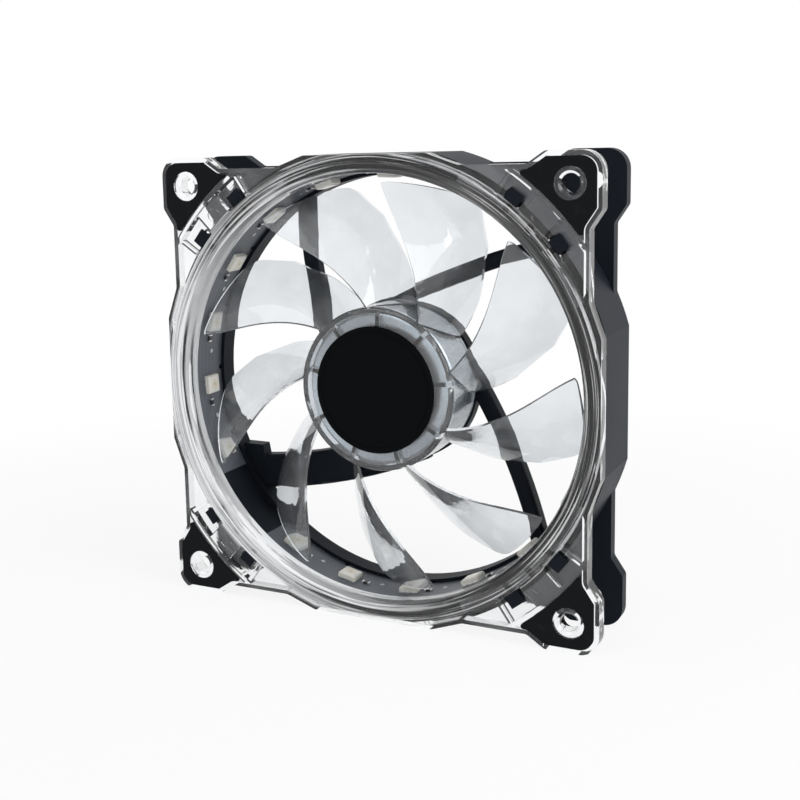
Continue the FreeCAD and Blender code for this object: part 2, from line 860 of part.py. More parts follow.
# ---- rotor inside the hub ------------------------------------------------------------------
def rotor_yoke():
    return lathe((boss_core_radius, yoke_front), (yoke_outer_radius - yoke_edge, yoke_front),
                 (yoke_outer_radius, yoke_front + yoke_edge), (yoke_outer_radius, yoke_rear),
                 (yoke_inner_radius, yoke_rear), (yoke_inner_radius, yoke_inside),
                 (boss_core_radius, yoke_inside))


def shaft_boss():
    body = rod(boss_core_radius, boss_front, boss_end)
    body = body.fuse(rod(boss_flange_radius, yoke_inside, boss_flange_end))
    return body.cut(rod(shaft_radius, boss_front, boss_end)).removeSplitter()


def shaft():
    pin = rod(shaft_radius, boss_front, shaft_end)
    groove = tube(shaft_radius + cut_margin, shaft_radius - clip_groove_depth, clip_front,
                  clip_front + clip_thickness)
    return pin.cut(groove)


def retaining_clip():
    ring = tube(clip_radius, shaft_radius - clip_groove_depth, clip_front, clip_front + clip_thickness)
    return ring.cut(block(0, clip_radius + cut_margin, clip_front, clip_front + clip_thickness,
                          -clip_slot / 2, clip_slot / 2))


# ---- stator --------------------------------------------------------------------------------
def on_poles(shape):
    return copies(shape, pole_count, first_pole_angle)


def stator_core():
    stem = block(core_hub_radius - pole_core_sink, shoe_inner_radius + pole_shoe_sink,
                 core_front, core_rear, -pole_width / 2, pole_width / 2)
    shoe = sector(stator_radius, shoe_inner_radius, core_front, core_rear,
                  -shoe_half_angle, shoe_half_angle)
    hub = rod(core_hub_radius, core_front, core_rear)
    core = joined([hub] + on_poles(stem) + on_poles(shoe))
    return core.cut(rod(tube_radius, core_front, core_rear))


def bobbin(core_face, away):
    """One insulating half on a face of the core; away is -1 at the front and +1 at the rear."""
    def between(near, far):
        first = core_face + away * near
        last = core_face + away * far
        return min(first, last), max(first, last)
    sheet = between(0.0, bobbin_sheet)
    tall = between(0.0, bobbin_wall)
    arm = block(bobbin_hub_radius - bobbin_arm_sink, shoe_inner_radius, sheet[0], sheet[1],
                -bobbin_arm_width / 2, bobbin_arm_width / 2)
    stop = block(shoe_inner_radius - bobbin_sheet, shoe_inner_radius, tall[0], tall[1],
                 -bobbin_flange_width / 2, bobbin_flange_width / 2)
    hub = rod(bobbin_hub_radius, tall[0], tall[1])
    half_bobbin = joined([hub] + on_poles(arm) + on_poles(stop))
    return half_bobbin.cut(rod(tube_radius, tall[0], tall[1]))


def coil():
    """A winding round the pole along +X."""
    front = core_front - bobbin_wall + winding_margin
    back = core_rear + bobbin_wall - winding_margin
    inner = bobbin_hub_radius + winding_margin
    outer = shoe_inner_radius - bobbin_sheet - winding_margin
    body = block(inner, outer, front, back, -winding_width / 2, winding_width / 2)
    long_edges = [edge for edge in body.Edges if abs(edge.tangentAt(0).x) > 0.999]
    body = body.makeFillet(winding_corner, long_edges)
    opening = bobbin_arm_width / 2
    return body.cut(block(inner, outer, core_front - bobbin_sheet, core_rear + bobbin_sheet,
                          -opening, opening))


def pin_places():
    """Three terminal pins in the rear bobbin's outer walls."""
    radius = shoe_inner_radius - bobbin_sheet / 2
    side = bobbin_flange_width / 2 - bobbin_sheet
    spots = []
    for turn in pin_pole_angles:
        heading = turn + math.degrees(math.atan2(side, radius))
        spots.append(polar(math.hypot(radius, side), heading))
    return spots


def terminal_pins():
    return Part.Compound([rod(pin_radius, pin_front, pin_end, place) for place in pin_places()])


def pin_holes(shape):
    return shape.cut([rod(pin_radius, pin_front, pin_end, place) for place in pin_places()])


# ---- motor board ---------------------------------------------------------------------------
def motor_board():
    return tube(board_radius, tube_radius + board_bore_gap, board_front, board_back)


def board_part(size, height, ring, angle, on_front):
    """A flat component on the board at a radius and an angle."""
    long_side, short_side = size
    front = board_front - height if on_front else board_back
    part = block(ring - short_side / 2, ring + short_side / 2, front, front + height,
                 -long_side / 2, long_side / 2)
    return turned(part, angle)


def capacitors():
    return Part.Compound([board_part(capacitor_size, capacitor_height, capacitor_ring, angle, False)
                          for angle in capacitor_angles])


# ---- all the pieces ------------------------------------------------------------------------
def pieces():
    named = {"front_frame": front_frame(), "rear_frame": rear_frame()}
    for corner, pad in pads().items():
        named["front_pad_" + corner] = pad
        named["rear_pad_" + corner] = facing_rear(pad)
    named["led_strip"] = led_strip()
    named["led_packages"] = along_strip(led_package())
    named["led_phosphors"] = along_strip(phosphor(phosphor_sink))
    named["strip_resistors"] = Part.Compound(
        copies(strip_resistor(), diode_count - 1, first_diode_angle, diode_pitch))
    named["impeller"] = impeller()
    named["hub_disc"] = hub_disc()
    named["rotor_yoke"] = rotor_yoke()
    named["ring_magnet"] = tube(yoke_inner_radius, magnet_inner_radius, magnet_front, magnet_rear)
    named["shaft_boss"] = shaft_boss()
    named["shaft"] = shaft()
    named["retaining_clip"] = retaining_clip()
    named["bearing_tube"] = tube(tube_radius, bearing_radius, tube_front, tube_end)
    named["sleeve_bearing"] = tube(bearing_radius, shaft_radius + bearing_clearance,
                                   bearing_front, bearing_end)
    named["oil_ring"] = tube(oil_ring_radius, shaft_radius, oil_ring_front,
                             oil_ring_front + oil_ring_thickness)
    named["thrust_pad"] = rod(bearing_radius, thrust_pad_front, tube_end)
    named["stator_core"] = stator_core()
    named["bobbin_front"] = bobbin(core_front, -1)
    named["bobbin_rear"] = pin_holes(bobbin(core_rear, 1))
    for number, winding in enumerate(on_poles(coil()), 1):
        named["coil_%d" % number] = winding
    named["motor_board"] = pin_holes(motor_board())
    named["driver_chip"] = board_part(chip_size, chip_height, chip_ring, chip_angle, False)
    named["hall_sensor"] = board_part(hall_size, hall_height, hall_ring, 0.0, True)
    named["capacitors"] = capacitors()
    named["terminal_pins"] = terminal_pins()
    return named


def main():
    os.makedirs("parts", exist_ok=True)
    for name, shape in pieces().items():
        shape.exportStep("parts/" + name + ".step")
        print(name, len(shape.Solids), round(shape.Volume, 1), shape.isValid())


main()
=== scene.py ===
"""Looks for a case fan: finishes, lamp details, stage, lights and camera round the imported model.

Lengths are in metres. The fan turns about the Y axis, its intake side faces -Y and +Z is up.
Angles round the axis are in degrees from +X, counter-clockwise as the intake side is seen.
"""

import math

import bmesh
import bpy
from bpy.props import FloatProperty, FloatVectorProperty, IntProperty, PointerProperty
from mathutils import Matrix, Vector


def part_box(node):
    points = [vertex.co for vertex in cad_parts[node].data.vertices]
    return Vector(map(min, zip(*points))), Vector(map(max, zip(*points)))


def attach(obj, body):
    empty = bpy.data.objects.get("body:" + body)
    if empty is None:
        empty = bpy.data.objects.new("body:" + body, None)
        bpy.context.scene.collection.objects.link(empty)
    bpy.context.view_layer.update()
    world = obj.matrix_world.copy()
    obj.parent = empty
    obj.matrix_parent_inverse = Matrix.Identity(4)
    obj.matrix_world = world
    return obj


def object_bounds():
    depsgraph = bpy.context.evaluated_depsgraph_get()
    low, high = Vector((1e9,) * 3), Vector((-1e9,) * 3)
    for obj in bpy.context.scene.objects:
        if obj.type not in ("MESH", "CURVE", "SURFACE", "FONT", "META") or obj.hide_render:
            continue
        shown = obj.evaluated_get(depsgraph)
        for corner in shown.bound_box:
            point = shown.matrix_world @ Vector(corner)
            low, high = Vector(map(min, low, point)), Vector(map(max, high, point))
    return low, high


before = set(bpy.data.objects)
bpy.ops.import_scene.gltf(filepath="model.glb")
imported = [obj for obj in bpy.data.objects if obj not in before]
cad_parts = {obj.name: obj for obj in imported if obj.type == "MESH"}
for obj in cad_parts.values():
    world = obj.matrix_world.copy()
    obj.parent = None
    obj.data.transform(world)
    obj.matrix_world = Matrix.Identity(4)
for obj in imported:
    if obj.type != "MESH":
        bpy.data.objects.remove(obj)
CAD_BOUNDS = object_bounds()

bl_info = {
    "name": "Case fan looks",
    "version": (1, 0, 0),
    "blender": (4, 5, 0),
    "location": "View3D > Sidebar > Case fan",
    "description": "Finishes, diode details and a studio for a clear case fan",
    "category": "Object",
}

MM = 0.001


# ---- settings ------------------------------------------------------------------------------
def colour(name, description, value):
    """A colour that a user may change."""
    return FloatVectorProperty(name=name, description=description, default=value,
                               subtype="COLOR", size=3, min=0.0, max=1.0)


def length(name, description, value):
    """A length in metres that a user may change."""
    return FloatProperty(name=name, description=description, default=value,
                         unit="LENGTH", subtype="DISTANCE", min=0.0, precision=5)


class FanFinishes(bpy.types.PropertyGroup):
    """Colours and gloss of the fan's plastics, metals and rubber."""

    black_plastic: colour("Black plastic", "Rear frame and struts", (0.012, 0.0145, 0.0195))
    clear_frame: colour("Clear frame", "Tint of the clear front frame", (0.975, 0.985, 0.995))
    clear_blades: colour("Clear blades", "Tint of the clear impeller", (0.835, 0.862, 0.888))
    pad_rubber: colour("Pad rubber", "Corner pads", (0.004, 0.005, 0.0065))
    hub_disc: colour("Hub disc", "Disc on the hub", (0.002, 0.0025, 0.003))
    solder_mask: colour("Solder mask", "Diode strip", (0.085, 0.095, 0.112))
    package: colour("Package", "White diode packages", (0.80, 0.785, 0.72))
    phosphor: colour("Phosphor", "Window of a diode", (0.78, 0.70, 0.52))
    solder: colour("Solder", "Tinned terminals and pads", (0.72, 0.73, 0.74))
    steel: colour("Yoke steel", "Drawn steel of the rotor yoke", (0.66, 0.72, 0.76))
    frost: colour("Frost", "Pale streaks in the clear ring", (0.96, 0.97, 0.985))
    # This share also sets the clear ring's painted light, painted shade and painted glints, besides its
    # frost streaks.
    frost_and_painted_light_share: FloatProperty(name="Frost share", description="Strength of the clear ring's streaks",
                               default=0.95, min=0.0, max=1.0)
    clear_ior: FloatProperty(name="Clear index", description="Index of refraction of the clear plastic",
                             default=1.49, min=1.0, max=2.0)
    clear_roughness: FloatProperty(name="Clear roughness", description="Roughness of the clear plastic",
                                   default=0.015, min=0.0, max=1.0)


class FanDiodes(bpy.types.PropertyGroup):
    """Layout and small sizes of the diode strip."""

    count: IntProperty(name="Diodes", description="Diodes round the duct", default=18, min=1)
    first: FloatProperty(name="First angle", description="Place of the first diode round the axis",
                         default=math.radians(238.0), subtype="ANGLE")
    pitch: FloatProperty(name="Pitch", description="Angle from one diode to the next",
                         default=math.radians(19.1), subtype="ANGLE")
    resistor_lead: FloatProperty(name="Resistor lead", description="Angle from a diode to its resistor",
                                 default=math.radians(5.4), subtype="ANGLE")
    terminal_width: length("Terminal width", "Width of a diode's terminal", 0.9 * MM)
    terminal_reach: length("Terminal reach", "How far a terminal stands out of the package", 0.28 * MM)
    terminal_pitch: length("Terminal pitch", "From one terminal to the next", 1.6 * MM)
    via_radius: length("Via radius", "Outer radius of a tinned ring on the strip", 0.55 * MM)
    via_height: length("Via height", "Height of a tinned ring above the mask", 0.03 * MM)


class FanStage(bpy.types.PropertyGroup):
    """Floor, lights and camera."""

    floor: colour("Floor", "Colour of the floor", (0.90, 0.90, 0.90))
    floor_fade: length("Floor fade", "Distance at which the floor is plain white", 0.30)
    floor_glow: FloatProperty(name="Floor glow", description="Share of the floor seen as plain white",
                              default=0.86, min=0.0, max=1.0)
    fill: FloatProperty(name="Fill", description="Level of the even light", default=0.42, min=0.0)
    key_power: FloatProperty(name="Key power", description="Power of the large side light",
                             default=3.6, unit="POWER", min=0.0)
    top_power: FloatProperty(name="Top power", description="Power of the overhead light",
                             default=1.2, unit="POWER", min=0.0)
    azimuth: FloatProperty(name="Azimuth", description="Camera's turn to the right of the front",
                           default=math.radians(28.87), subtype="ANGLE")
    elevation: FloatProperty(name="Elevation", description="Camera's height angle",
                             default=math.radians(8.95), subtype="ANGLE")
    roll: FloatProperty(name="Roll", description="Camera's tilt about its own axis",
                        default=math.radians(-1.6), subtype="ANGLE")
    place: FloatVectorProperty(name="Place", description="Where the camera stands", size=3,
                               default=(0.13941, -0.29415, 0.0636), subtype="TRANSLATION", unit="LENGTH")
    lens: FloatProperty(name="Lens", description="Focal length in millimetres", default=56.9, min=1.0)
    shift: FloatVectorProperty(name="Shift", description="Shift of the frame, in widths", size=2,
                               default=(0.1125, -0.075))


# ---- shader maths --------------------------------------------------------------------------
class Field:
    """A shader value that takes part in ordinary arithmetic."""

    def __init__(self, finish, socket):
        self.finish = finish
        self.socket = socket

    def _math(self, operation, first, second=None):
        inputs = {0: first}
        if second is not None:
            inputs[1] = second
        return self.finish.node("ShaderNodeMath", {"operation": operation}, inputs)

    def __add__(self, other):
        return self._math("ADD", self, other)

    def __radd__(self, other):
        return self._math("ADD", other, self)

    def __sub__(self, other):
        return self._math("SUBTRACT", self, other)

    def __rsub__(self, other):
        return self._math("SUBTRACT", other, self)

    def __mul__(self, other):
        return self._math("MULTIPLY", self, other)

    def __rmul__(self, other):
        return self._math("MULTIPLY", other, self)

    def __truediv__(self, other):
        return self._math("DIVIDE", self, other)

    def __gt__(self, other):
        return self._math("GREATER_THAN", self, other)

    def __lt__(self, other):
        return self._math("LESS_THAN", self, other)

    def wave(self):
        """The sine of the value."""
        return self._math("SINE", self)

    def size(self):
        """The value without its sign."""
        return self._math("ABSOLUTE", self)

    def fraction(self):
        """The part after the decimal point."""
        return self._math("FRACT", self)

    def largest(self, other):
        """The larger of two values."""
        return self._math("MAXIMUM", self, other)

    def angle_to(self, other):
        """The angle whose tangent is this value over the other."""
        return self._math("ARCTAN2", self, other)

    def root(self):
        """The square root."""
        return self._math("SQRT", self)

    def step(self, low, high):
        """A smooth rise from 0 at low to 1 at high."""
        settings = {"interpolation_type": "SMOOTHSTEP"}
        return self.finish.node("ShaderNodeMapRange", settings, {"Value": self, 1: low, 2: high})


class Finish:
    """A material, or the world, whose nodes are made one by one."""

    def __init__(self, name, owner=None):
        self.owner = owner or bpy.data.materials.new(name)
        self.owner.use_nodes = True
        self.tree = self.owner.node_tree
        self.tree.nodes.clear()

    def node(self, kind, settings=None, inputs=None, output=0):
        """A node of a kind: its settings are set first, then its sockets' values or links."""
        made = self.tree.nodes.new(kind)
        for key, value in (settings or {}).items():
            setattr(made, key, value)
        for key, value in (inputs or {}).items():
            self.feed(made.inputs[key], value)
        return Field(self, made.outputs[output]) if made.outputs else None

    def feed(self, socket, value):
        """Gives a socket a value or a link."""
        if isinstance(value, Field):
            self.tree.links.new(value.socket, socket)
        elif hasattr(socket.default_value, "__len__") and len(socket.default_value) == 4:
            socket.default_value = tuple(value) + (1.0,) if len(value) == 3 else tuple(value)
        else:
            socket.default_value = value

    def place(self):
        """The place on the piece, in metres, as three values."""
        spot = self.node("ShaderNodeTexCoord", output="Object")
        return tuple(self.node("ShaderNodeSeparateXYZ", inputs={0: spot}, output=axis) for axis in "XYZ")

    def noise(self, scale, detail=3.0, roughness=0.5, spot=None):
        """Soft noise on the piece, from 0 to 1; spot is the place it is read at."""
        spot = spot or self.node("ShaderNodeTexCoord", output="Object")
        return self.node("ShaderNodeTexNoise", {"noise_dimensions": "3D"},
                         {"Vector": spot, "Scale": scale, "Detail": detail, "Roughness": roughness},
                         "Fac")

    def spot(self, *values):
        """A place made of three values."""
        return self.node("ShaderNodeCombineXYZ", inputs=dict(enumerate(values)))

    def mix(self, share, first, second):
        """A colour between two."""
        return self.node("ShaderNodeMix", {"data_type": "RGBA"}, {"Factor": share, 6: first, 7: second}, 2)

    def bump(self, height, distance, strength=1.0):
        """A surface normal raised by a height."""
        return self.node("ShaderNodeBump",
                         inputs={"Height": height, "Distance": distance, "Strength": strength})

    def surface(self, **sockets):
        """The material's shader with its sockets set by name; underscores stand for spaces."""
        inputs = {key.replace("_", " "): value for key, value in sockets.items()}
        shader = self.node("ShaderNodeBsdfPrincipled", inputs=inputs)
        self.node("ShaderNodeOutputMaterial", inputs={"Surface": shader})
        return self.owner


# ---- finishes ------------------------------------------------------------------------------
def black_moulding(finishes):
    """Fine-textured black plastic with faint flow marks."""
    finish = Finish("black_moulding")
    grain = finish.noise(5200.0, 2.0)
    flow = finish.noise(46.0, 4.0)
    shade = finish.mix(flow, [c * 0.82 for c in finishes.black_plastic],
                       [min(1.0, c * 1.2) for c in finishes.black_plastic])
    return finish.surface(Base_Color=shade, Roughness=0.36 + flow * 0.16, IOR=1.5,
                          Specular_IOR_Level=0.06, Specular_Tint=(0.74, 0.85, 1.0),
                          Normal=finish.bump(grain, 0.02 * MM, 0.5))


def clear_plastic(finish, finishes, tint, normal, share):
    """Polished clear plastic in which a share of the light scatters palely."""
    clear = finish.node("ShaderNodeBsdfPrincipled", inputs={
        "Base Color": tuple(tint), "Transmission Weight": 1.0, "IOR": finishes.clear_ior,
        "Roughness": finishes.clear_roughness, "Normal": normal})
    pale = finish.node("ShaderNodeBsdfPrincipled", inputs={
        "Base Color": tuple(finishes.frost), "IOR": finishes.clear_ior, "Roughness": 0.22,
        "Normal": normal})
    both = finish.node("ShaderNodeMixShader", inputs={0: share, 1: clear, 2: pale})
    finish.node("ShaderNodeOutputMaterial", inputs={"Surface": both})
    return finish.owner


def clear_impeller(finishes):
    """Clear plastic with slow moulding waves and a trace of haze."""
    finish = Finish("clear_impeller")
    slow = finish.noise(45.0, 1.0)
    haze = finish.noise(120.0, 3.0).step(0.35, 0.75)
    return clear_plastic(finish, finishes, finishes.clear_blades,
                         finish.bump(slow, 0.12 * MM, 0.35), 0.045 + haze * 0.05)


def band(radius, start, end, rise, fall):
    """1 between two radii, with a smooth rise before it and a smooth fall after it."""
    return radius.step(start - rise, start) * (1.0 - radius.step(end, end + fall))


def clear_ring(finishes):
    """Polished clear plastic with pale streaks that run round the ring over the duct's wall; they are
    strengthened on the left and below as painted light, weakened at the top as painted shade, and carry
    painted glints.
    """
    finish = Finish("clear_front")
    across, depth, up = finish.place()
    radius = (across * across + up * up).root()
    right = across / radius
    top = up / radius
    fine_place = finish.spot(radius * 1900.0 + depth * 300.0, right * 1.5, top * 1.5)
    broad_place = finish.spot(radius * 620.0 - depth * 160.0, right * 0.9, top * 0.9)
    fine = finish.noise(1.0, 2.0, spot=fine_place)
    broad = finish.noise(1.0, 2.0, spot=broad_place)
    outer = max(abs(corner.z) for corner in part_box("rear_frame"))
    ring = band(radius, outer - 4.6 * MM, outer + 0.6 * MM, 1.6 * MM, 1.2 * MM)
    # The streaks are strongest on the left, and stronger below than above: this is painted light and
    # painted shade set by place round the ring.
    side = (right * -0.85 - top * 0.35).step(-0.35, 0.9)
    # The painted light also widens the streaks on the left.
    painted_light_widening = side * 0.05
    streaks = (fine + painted_light_widening).step(0.53, 0.57) * 0.7 + (broad + painted_light_widening).step(0.51, 0.57) * 0.3
    # Thin bright lines are painted glints, i.e. painted highlights, fainter where the painted light is
    # strong.
    painted_glints = fine.step(0.60, 0.625) * (0.55 - side * 0.3)
    # A pale veil on the left is painted light, broken where the broad noise is low.
    painted_light_veil = side * side * broad.step(0.41, 0.47) * 0.38
    # The product of right and top is largest on the diagonals, where the clips are.
    diagonal = right * top
    near_clips = (diagonal * diagonal).step(0.17, 0.21)
    clips = near_clips * band(radius, outer + 2.0 * MM, outer + 6.5 * MM, 1.0 * MM, 2.0 * MM)
    streaks_and_painted_light = (streaks * (0.26 + side * 0.54) + painted_glints + painted_light_veil) * ring * finishes.frost_and_painted_light_share
    share = streaks_and_painted_light + clips * 0.035 + 0.012
    slow = finish.noise(60.0, 1.0)
    ridges = finish.bump(fine * 0.35 + slow * 0.65, 0.16 * MM, 0.4)
    return clear_plastic(finish, finishes, finishes.clear_frame, ridges, share)


def pad_rubber(finishes):
    """Matt rubber with a fine grain and a trace of dust."""
    finish = Finish("pad_rubber")
    grain = finish.noise(7500.0, 2.0)
    dust = finish.noise(320.0, 5.0).step(0.55, 0.8)
    shade = finish.mix(dust * 0.35, tuple(finishes.pad_rubber), (0.03, 0.031, 0.034))
    return finish.surface(Base_Color=shade, Roughness=0.62 + dust * 0.2, IOR=1.45,
                          Specular_IOR_Level=0.12,
                          Normal=finish.bump(grain, 0.03 * MM, 0.6))


def satin_disc(finishes):
    """Satin black film with a very fine turned sheen."""
    finish = Finish("satin_disc")
    across, _, up = finish.place()
    radius = (across * across + up * up).root()
    rings = (radius * (2 * math.pi / (0.24 * MM))).wave()
    flecks = finish.noise(900.0, 2.0)
    return finish.surface(Base_Color=tuple(finishes.hub_disc), Roughness=0.34 + flecks * 0.10, IOR=1.45,
                          Specular_IOR_Level=0.05,
                          Normal=finish.bump(rings, 0.002 * MM, 0.35))


def diode_step(finish, diodes):
    """How far along the strip a place is from the diode before it, as a share of the pitch."""
    across, _, up = finish.place()
    start = diodes.first - 2 * math.pi
    turn = up.angle_to(across)
    turn = turn + (turn < start - diodes.pitch) * (2 * math.pi)
    return ((turn - start) / diodes.pitch).fraction()


def solder_mask(finishes, diodes):
    """Dark solder mask over copper that shows as faint tracks along the strip."""
    finish = Finish("solder_mask")
    _, depth, _ = finish.place()
    low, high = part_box("led_strip")
    width = high.y - low.y
    share = (depth - low.y) / width
    track = (share * 7.0).fraction() - 0.5
    rail = track.size() > 0.41
    gap = (diode_step(finish, diodes) - 0.5).size() < 0.34
    copper = rail * gap
    cloud = finish.noise(240.0, 3.0)
    base = finish.mix(cloud, [c * 0.9 for c in finishes.solder_mask],
                      [c * 1.12 for c in finishes.solder_mask])
    shade = finish.mix(copper * 0.55, base, [min(1.0, c * 1.45) for c in finishes.solder_mask])
    return finish.surface(Base_Color=shade, Roughness=0.40 + cloud * 0.12, IOR=1.5,
                          Normal=finish.bump(copper + cloud * 0.1, 0.03 * MM, 0.5))


def white_package(finishes):
    """Warm white moulding compound."""
    finish = Finish("white_package")
    cloud = finish.noise(1400.0, 2.0)
    shade = finish.mix(cloud, [c * 0.94 for c in finishes.package], tuple(finishes.package))
    return finish.surface(Base_Color=shade, Roughness=0.42, IOR=1.5, Subsurface_Weight=0.15,
                          Subsurface_Scale=0.6 * MM, Normal=finish.bump(cloud, 0.01 * MM, 0.4))


def phosphor_gel(finishes, diodes):
    """Cloudy warm gel over the diode's small dark chip, paler towards its edge."""
    finish = Finish("phosphor_gel")
    _, depth, _ = finish.place()
    low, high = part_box("led_phosphors")
    beside = (diode_step(finish, diodes) + 0.5).fraction() - 0.5
    sideways = beside * (diodes.pitch * strip_radius())
    along = depth - (low.y + high.y) / 2
    reach = (sideways * sideways + along * along).root()
    cloud = finish.noise(2600.0, 3.0)
    gel = finish.mix(cloud, tuple(finishes.phosphor), (0.86, 0.80, 0.70))
    rim = finish.mix(reach.step(1.2 * MM, 1.8 * MM), gel, (0.86, 0.84, 0.78))
    chip = (sideways.size().largest(along.size()) < 0.38 * MM) * 0.45
    shade = finish.mix(chip, rim, (0.30, 0.27, 0.20))
    return finish.surface(Base_Color=shade, Roughness=0.22, IOR=1.41, Coat_Weight=0.3)


def tinned(finishes):
    """Dull bright solder."""
    finish = Finish("tinned")
    lumps = finish.noise(2200.0, 3.0)
    return finish.surface(Base_Color=tuple(finishes.solder), Metallic=1.0, Roughness=0.26 + lumps * 0.2,
                          Normal=finish.bump(lumps, 0.03 * MM, 0.5))


def drawn_steel(finishes):
    """Drawn steel with fine rings round the axis and a painted sheen: the base colour darkens and
    brightens in turn round the axis.
    """
    finish = Finish("drawn_steel")
    across, depth, up = finish.place()
    radius = (across * across + up * up).root()
    rings = ((radius + depth) * (2 * math.pi / (0.3 * MM))).wave()
    cloud = finish.noise(120.0, 3.0)
    # A painted reflection: the base colour darkens and brightens twice round the axis, as a sheen on drawn
    # steel would.
    sheen = (up.angle_to(across) * 2.0 + 0.7).wave().step(-1.0, 1.0)
    painted_sheen_steel = finish.mix(sheen, [c * 0.45 for c in finishes.steel], tuple(finishes.steel))
    shade = finish.mix(cloud * 0.35, painted_sheen_steel, [c * 0.8 for c in finishes.steel])
    return finish.surface(Base_Color=shade, Metallic=1.0, Roughness=0.2 + cloud * 0.15,
                          Normal=finish.bump(rings, 0.003 * MM, 0.4))


def plain_metal(name, tint, rough, grain=1500.0):
    """A metal with a fine machined grain."""
    finish = Finish(name)
    cloud = finish.noise(grain, 2.0)
    shade = finish.mix(cloud, [c * 0.85 for c in tint], tint)
    return finish.surface(Base_Color=shade, Metallic=1.0, Roughness=rough + cloud * 0.12,
                          Normal=finish.bump(cloud, 0.01 * MM, 0.3))


def plain_plastic(name, tint, rough, grain=2500.0):
    """A plastic, ceramic or ferrite with a fine grain."""
    finish = Finish(name)
    cloud = finish.noise(grain, 3.0)
    shade = finish.mix(cloud, [c * 0.85 for c in tint], tint)
    return finish.surface(Base_Color=shade, Roughness=rough + cloud * 0.15,
                          Normal=finish.bump(cloud, 0.012 * MM, 0.4))


def wound_copper():
    """Enamelled wire laid side by side across the coil, with painted shade in the grooves between turns
    and painted highlights on their crowns.
    """
    finish = Finish("wound_copper")
    across, _, up = finish.place()
    radius = (across * across + up * up).root()
    turns = (radius * (2 * math.pi / (0.22 * MM))).wave()
    # The colour follows the wire's bump: dark in the grooves is painted shade, bright on the crowns is
    # painted highlight.
    shade = finish.mix(turns.step(-1.0, 1.0), (0.32, 0.11, 0.04), (0.80, 0.38, 0.18))
    return finish.surface(Base_Color=shade, Metallic=0.9, Roughness=0.3,
                          Normal=finish.bump(turns, 0.06 * MM, 0.8))


# ---- mesh helpers --------------------------------------------------------------------------
def soften(node, angle=32.0):
    """Smooth shading on a frame node, with its real corners kept crisp."""
    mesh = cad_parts[node].data
    mesh.polygons.foreach_set("use_smooth", [True] * len(mesh.polygons))
    mesh.set_sharp_from_angle(angle=math.radians(angle))


def coat(node, material):
    """Gives a frame node its finish."""
    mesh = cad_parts[node].data
    mesh.materials.clear()
    mesh.materials.append(material)
    soften(node)


def piece(name, body, material, build):
    """A new piece that rides on a body; build fills its mesh."""
    mesh = bpy.data.meshes.new(name)
    shape = bmesh.new()
    build(shape)
    shape.to_mesh(mesh)
    shape.free()
    made = bpy.data.objects.new(name, mesh)
    bpy.context.scene.collection.objects.link(made)
    mesh.materials.append(material)
    mesh.polygons.foreach_set("use_smooth", [True] * len(mesh.polygons))
    mesh.set_sharp_from_angle(angle=math.radians(35.0))
    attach(made, body)
    return made


def round_axis(angle):
    """A turn about the fan's axis, counter-clockwise as the front is seen."""
    return Matrix.Rotation(-angle, 4, "Y")


def add_chip(shape, size, centre, turn, edge):
    """A small block with rounded edges, drawn along +X and turned about the axis."""
    made = bmesh.ops.create_cube(shape, size=1.0)
    corners = made["verts"]
    bmesh.ops.scale(shape, vec=size, verts=corners)
    edges = list({line for corner in corners for line in corner.link_edges})
    rounded = bmesh.ops.bevel(shape, geom=edges, offset=edge, segments=2, profile=0.5, affect="EDGES")
    moved = list({corner for face in rounded["faces"] for corner in face.verts} |
                 {corner for corner in corners if corner.is_valid})
    bmesh.ops.transform(shape, matrix=round_axis(turn) @ Matrix.Translation(centre), verts=moved)


# ---- diode strip details -------------------------------------------------------------------
def diode_turns(diodes):
    """The places of the diodes round the axis."""
    return [diodes.first + diodes.pitch * index for index in range(diodes.count)]


def diode_frame():
    """The depth of a diode's centre and the length of its side, from the frame."""
    low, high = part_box("led_packages")
    return (low.y + high.y) / 2, high.y - low.y


def strip_radius():
    """The inner radius of the strip, measured on its mesh."""
    return min(math.hypot(corner.co.x, corner.co.z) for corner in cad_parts["led_strip"].data.vertices)


def add_terminals(shape, diodes):
    """Three tinned terminals at the front and rear of each diode."""
    centre, side = diode_frame()
    radius = strip_radius()
    height = 0.5 * MM
    rounding = 0.08 * MM
    reach = diodes.terminal_reach
    for turn in diode_turns(diodes):
        for row in (-1, 0, 1):
            lean = row * diodes.terminal_pitch / radius
            for end in (-1, 1):
                spot = Vector((radius - height / 2, centre + end * (side / 2 + reach / 2), 0.0))
                add_chip(shape, (height, reach, diodes.terminal_width), spot, turn + lean, rounding)


def add_resistor_ends(shape, diodes):
    """The tinned ends of the resistors."""
    low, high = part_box("strip_resistors")
    centre = (low.y + high.y) / 2
    width = high.y - low.y
    radius = strip_radius()
    height = 0.53 * MM
    cap_length = 0.4 * MM
    cap_offset = 0.85 * MM
    cap_overhang = 1.04
    rounding = 0.06 * MM
    for turn in diode_turns(diodes)[:-1]:
        for end in (-1, 1):
            lean = diodes.resistor_lead + end * cap_offset / radius
            spot = Vector((radius - height / 2, centre, 0.0))
            add_chip(shape, (height, width * cap_overhang, cap_length), spot, turn + lean, rounding)


